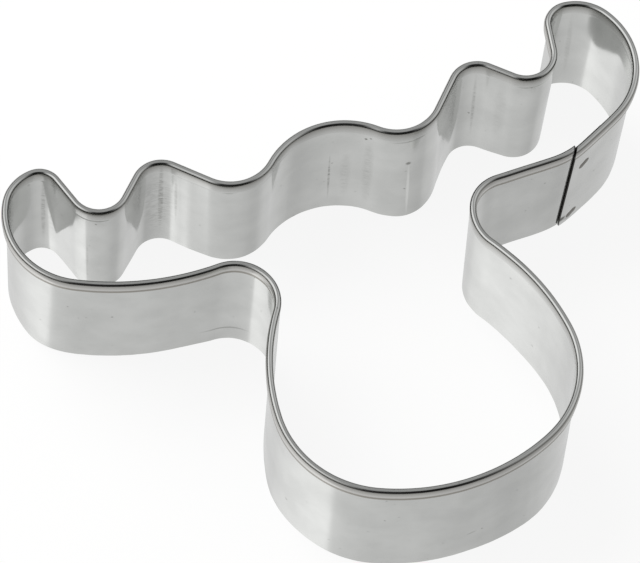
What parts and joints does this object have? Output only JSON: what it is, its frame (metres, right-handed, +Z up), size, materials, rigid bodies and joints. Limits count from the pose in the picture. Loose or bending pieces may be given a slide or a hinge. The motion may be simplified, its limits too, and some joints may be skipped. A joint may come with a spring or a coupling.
{
  "type": "cookie cutter",
  "caption": "Moose-head cookie cutter: a thin tinplate strip bent to a closed outline, plain cutting edge below, folded rim above, ends lapped and spot welded under one antler.",
  "frame": {"origin": "centre of the overall box in plan, at the height of the cutting edge that the cutter stands on", "axes": "+X across the antlers towards the antler with the seam, +Y from the nose to the antlers, +Z up from the cutting edge to the folded rim"},
  "size_m": [0.109, 0.0778, 0.0254],
  "materials": {
    "tinplate": "bright tinplate, faintly streaked along the strip, lightly scuffed",
    "weld_mark": "dull grey burnt spot where the tin has melted"
  },
  "bodies": {
    "root": {"cutter_strip": "tinplate", "spot_weld_upper": "weld_mark", "spot_weld_lower": "weld_mark"}
  },
  "joints": []
}
